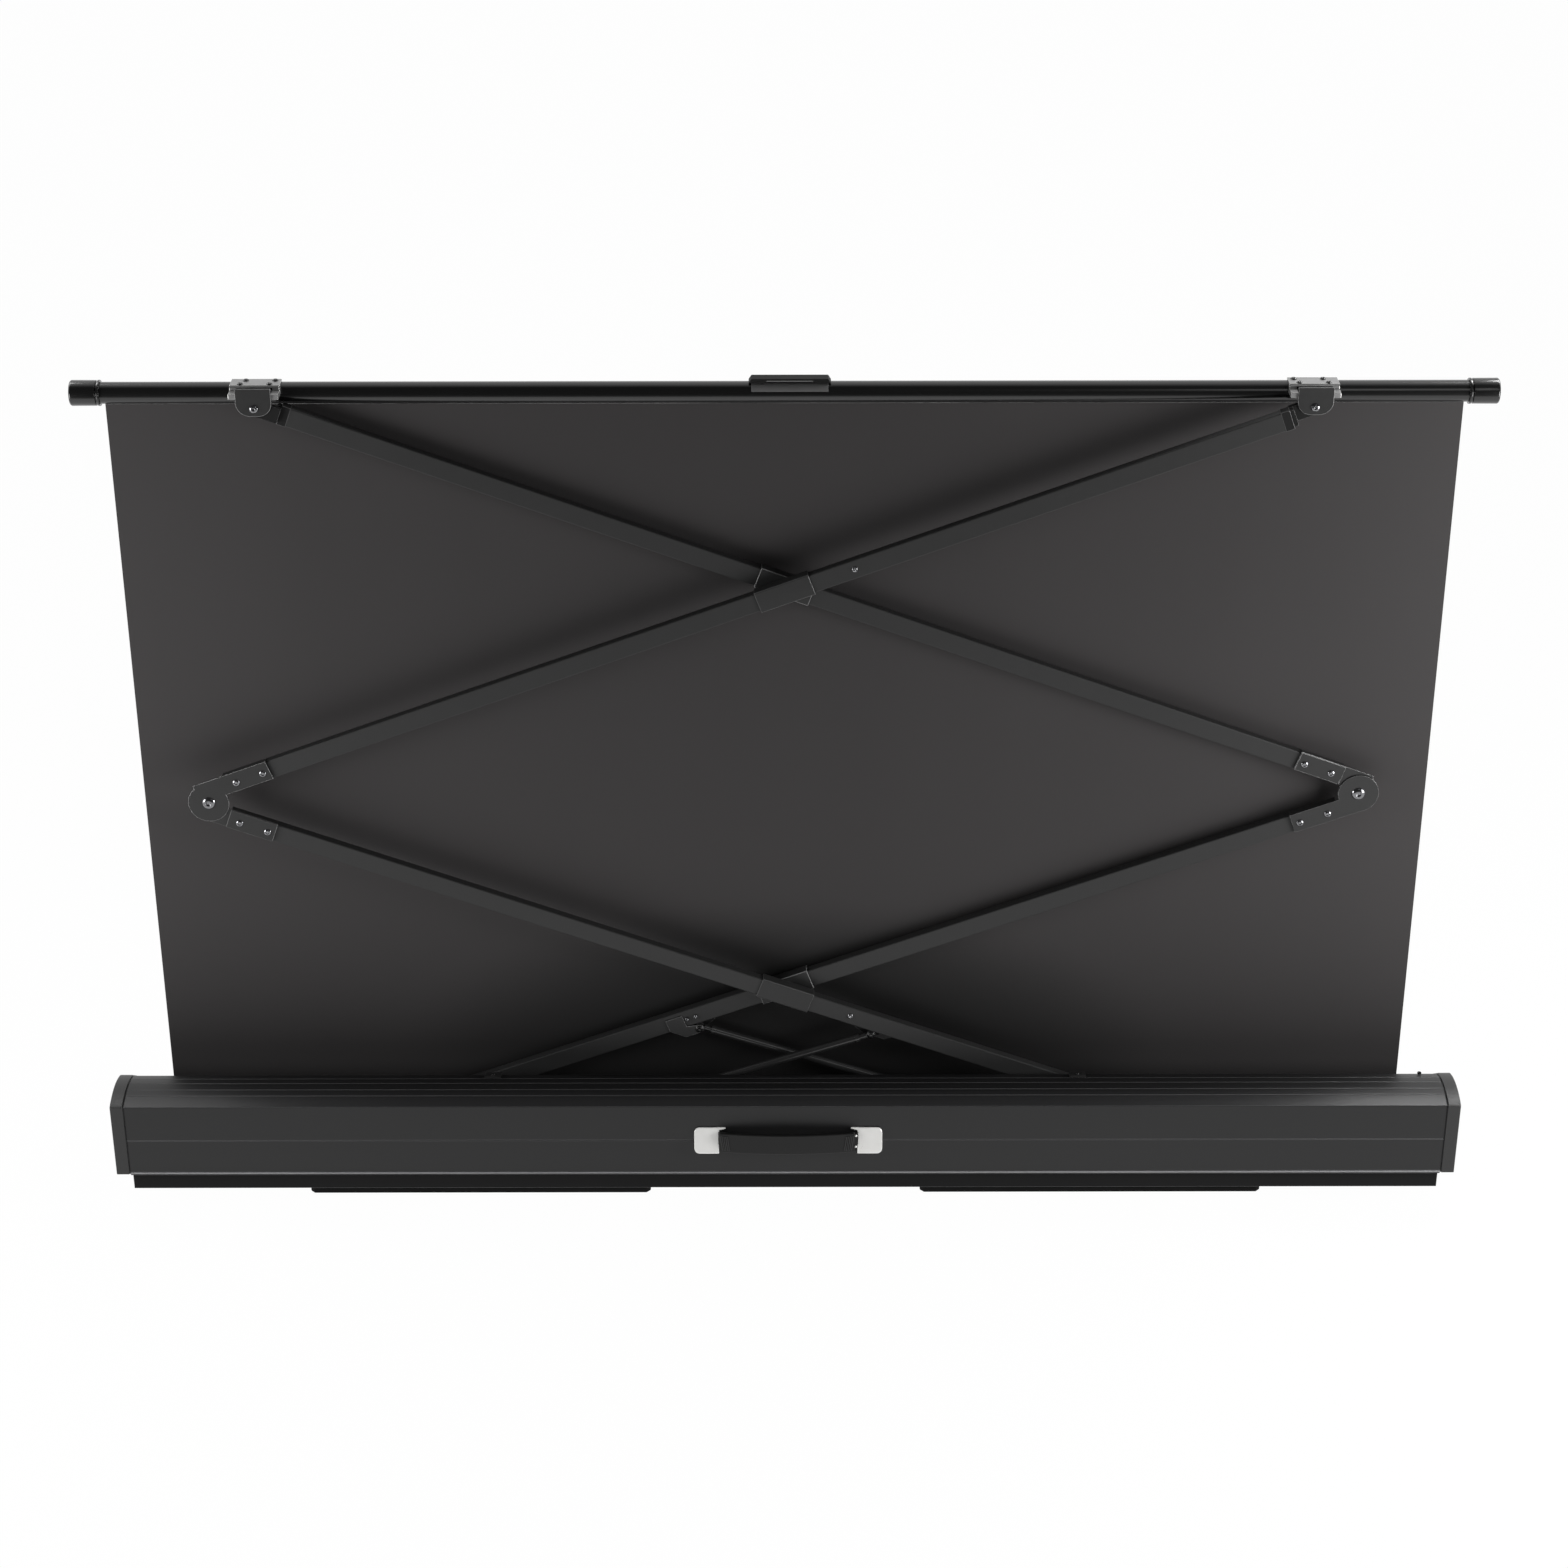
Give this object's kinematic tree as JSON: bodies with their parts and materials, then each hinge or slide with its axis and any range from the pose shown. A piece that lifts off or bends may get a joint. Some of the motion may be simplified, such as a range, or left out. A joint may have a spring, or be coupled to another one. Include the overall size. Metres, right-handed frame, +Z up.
{
  "type": "pull up projection screen",
  "caption": "Floor-standing projection screen pulled up from its housing on a double scissor of crossing arms, black-backed cloth, gas struts, carry handle and swivel feet.",
  "frame": {"origin": "middle of the bottom of the bounding box, on the floor under the housing", "axes": "+X along the housing, +Y toward the viewers, +Z up"},
  "size_m": [1.985, 0.2302, 1.2614],
  "materials": {
    "arm_metal": "satin dark coating",
    "black_plastic": "satin",
    "bracket_metal": "satin dark",
    "cloth": "black backed",
    "cover_metal": "satin black coating",
    "gloss_black": "gloss black",
    "nickel": "bright plated",
    "rail_metal": "matt black",
    "roller_metal": "plain",
    "steel": "bright",
    "tube_metal": "gloss black coating"
  },
  "bodies": {
    "housing": {"rear_cover": "cover_metal", "front_cover": "cover_metal", "base_rail": "rail_metal", "end_cap_left": "black_plastic", "end_cap_right": "black_plastic", "handle_grip": "black_plastic", "handle_cap_left": "nickel", "handle_cap_right": "nickel", "base_bracket_left": "bracket_metal", "base_bracket_right": "bracket_metal", "strut_anchor_left": "bracket_metal", "strut_anchor_right": "bracket_metal", "guide_block_left": "black_plastic", "guide_block_right": "black_plastic", "roller_bracket_left": "bracket_metal", "roller_bracket_right": "bracket_metal", "stop_nub": "black_plastic", "screen_cloth": "cloth"},
    "roller": {"roller_tube": "roller_metal", "roller_plug_left": "black_plastic", "roller_plug_right": "black_plastic"},
    "lower_arm_outer_body": {"lower_arm_outer": "arm_metal", "lower_bracket_outer": "arm_metal", "base_eye_outer": "bracket_metal", "strut_clevis_outer": "bracket_metal"},
    "lower_arm_inner_body": {"lower_arm_inner": "arm_metal", "lower_bracket_inner": "arm_metal", "base_eye_inner": "bracket_metal", "strut_clevis_inner": "bracket_metal"},
    "upper_arm_outer_body": {"upper_arm_outer": "arm_metal", "upper_bracket_outer": "arm_metal", "top_eye_outer": "bracket_metal", "side_bolt_left": "gloss_black"},
    "upper_arm_inner_body": {"upper_arm_inner": "arm_metal", "upper_bracket_inner": "arm_metal", "top_eye_inner": "bracket_metal", "side_bolt_right": "gloss_black"},
    "lower_sleeve_outer_body": {"lower_sleeve_outer": "arm_metal", "lower_crossing_pin": "steel"},
    "lower_sleeve_inner_body": {"lower_sleeve_inner": "arm_metal"},
    "upper_sleeve_outer_body": {"upper_sleeve_outer": "arm_metal", "upper_crossing_pin": "steel"},
    "upper_sleeve_inner_body": {"upper_sleeve_inner": "arm_metal"},
    "strut_cylinder_outer_body": {"strut_cylinder_outer": "gloss_black"},
    "strut_cylinder_inner_body": {"strut_cylinder_inner": "gloss_black"},
    "strut_rod_outer_body": {"strut_rod_outer": "steel"},
    "strut_rod_inner_body": {"strut_rod_inner": "steel"},
    "top_bar": {"top_tube": "tube_metal", "pull_handle": "black_plastic", "top_cap_left": "black_plastic", "top_cap_right": "black_plastic", "top_saddle_left": "steel", "top_saddle_right": "steel", "top_ear_left": "bracket_metal", "top_ear_right": "bracket_metal", "top_pin_left": "gloss_black", "top_pin_right": "gloss_black"},
    "foot_left_body": {"foot_left": "black_plastic"},
    "foot_right_body": {"foot_right": "black_plastic"}
  },
  "joints": [
    {"name": "fold", "type": "hinge", "parent": "housing", "child": "lower_arm_outer_body", "pos_m": [0.718, 0.00735, 0.0525], "axis": [0, -1, 0], "range_deg": [0, 19.05], "deforming": ["screen_cloth"]},
    {"name": "fold_inner_lower", "type": "hinge", "parent": "housing", "child": "lower_arm_inner_body", "pos_m": [-0.718, 0.03135, 0.0525], "axis": [0, 1, 0], "range_deg": [0, 19.05]},
    {"name": "fold_outer_upper", "type": "hinge", "parent": "lower_arm_outer_body", "child": "upper_arm_outer_body", "pos_m": [-0.824, 0.00735, 0.6415], "axis": [0, 1, 0], "range_deg": [0, 38.1]},
    {"name": "fold_inner_upper", "type": "hinge", "parent": "lower_arm_inner_body", "child": "upper_arm_inner_body", "pos_m": [0.824, 0.03135, 0.6415], "axis": [0, -1, 0], "range_deg": [0, 38.1]},
    {"name": "top_bar_level", "type": "hinge", "parent": "upper_arm_outer_body", "child": "top_bar", "pos_m": [0.718, 0.01435, 1.2305], "axis": [0, -1, 0], "range_deg": [0, 19.05]},
    {"name": "lower_sleeve_outer_slide", "type": "slide", "parent": "lower_arm_outer_body", "child": "lower_sleeve_outer_body", "axis": [0.9376, 0, -0.3478], "range_m": [0, 0.0477]},
    {"name": "lower_sleeve_inner_slide", "type": "slide", "parent": "lower_arm_inner_body", "child": "lower_sleeve_inner_body", "axis": [-0.9376, 0, -0.3478], "range_m": [0, 0.0477]},
    {"name": "upper_sleeve_outer_slide", "type": "slide", "parent": "upper_arm_outer_body", "child": "upper_sleeve_outer_body", "axis": [0.9376, 0, 0.3478], "range_m": [0, 0.0477]},
    {"name": "upper_sleeve_inner_slide", "type": "slide", "parent": "upper_arm_inner_body", "child": "upper_sleeve_inner_body", "axis": [-0.9376, 0, 0.3478], "range_m": [0, 0.0477]},
    {"name": "strut_pivot_outer", "type": "hinge", "parent": "lower_arm_outer_body", "child": "strut_cylinder_outer_body", "pos_m": [0.12771, 0.00735, 0.24819], "axis": [0, 1, 0], "range_deg": [0, 37.95]},
    {"name": "strut_pivot_inner", "type": "hinge", "parent": "lower_arm_inner_body", "child": "strut_cylinder_inner_body", "pos_m": [-0.12771, 0.03135, 0.24819], "axis": [0, -1, 0], "range_deg": [0, 37.95]},
    {"name": "strut_rod_outer_slide", "type": "slide", "parent": "strut_cylinder_outer_body", "child": "strut_rod_outer_body", "axis": [0.9477, 0, 0.3193], "range_m": [0, 0.0645]},
    {"name": "strut_rod_inner_slide", "type": "slide", "parent": "strut_cylinder_inner_body", "child": "strut_rod_inner_body", "axis": [-0.9477, 0, 0.3193], "range_m": [0, 0.0645]},
    {"name": "roller_turn", "type": "hinge", "parent": "housing", "child": "roller", "pos_m": [0, 0.07515, 0.0845], "axis": [1, 0, 0], "range_deg": [0, 2315.9]},
    {"name": "foot_swivel_left", "type": "hinge", "parent": "housing", "child": "foot_left_body", "pos_m": [-0.4595, -0.00365, 0.012], "axis": [0, 0, 1], "range_deg": [0, 90]},
    {"name": "foot_swivel_right", "type": "hinge", "parent": "housing", "child": "foot_right_body", "pos_m": [0.4595, -0.00365, 0.012], "axis": [0, 0, -1], "range_deg": [0, 90]}
  ],
  "couplings": [
    {"joint": "fold_inner_lower", "follows": "fold", "ratio": 1},
    {"joint": "fold_outer_upper", "follows": "fold", "ratio": 2},
    {"joint": "fold_inner_upper", "follows": "fold", "ratio": 2},
    {"joint": "top_bar_level", "follows": "fold", "ratio": 1},
    {"joint": "lower_sleeve_outer_slide", "follows": "fold", "m_per_rad": 0.1432},
    {"joint": "lower_sleeve_inner_slide", "follows": "fold", "m_per_rad": 0.1432},
    {"joint": "upper_sleeve_outer_slide", "follows": "fold", "m_per_rad": 0.1432},
    {"joint": "upper_sleeve_inner_slide", "follows": "fold", "m_per_rad": 0.1432},
    {"joint": "strut_pivot_outer", "follows": "fold", "ratio": 1.9917},
    {"joint": "strut_pivot_inner", "follows": "fold", "ratio": 1.9917},
    {"joint": "strut_rod_outer_slide", "follows": "fold", "m_per_rad": 0.1938},
    {"joint": "strut_rod_inner_slide", "follows": "fold", "m_per_rad": 0.1938},
    {"joint": "roller_turn", "follows": "fold", "ratio": 121.57}
  ]
}
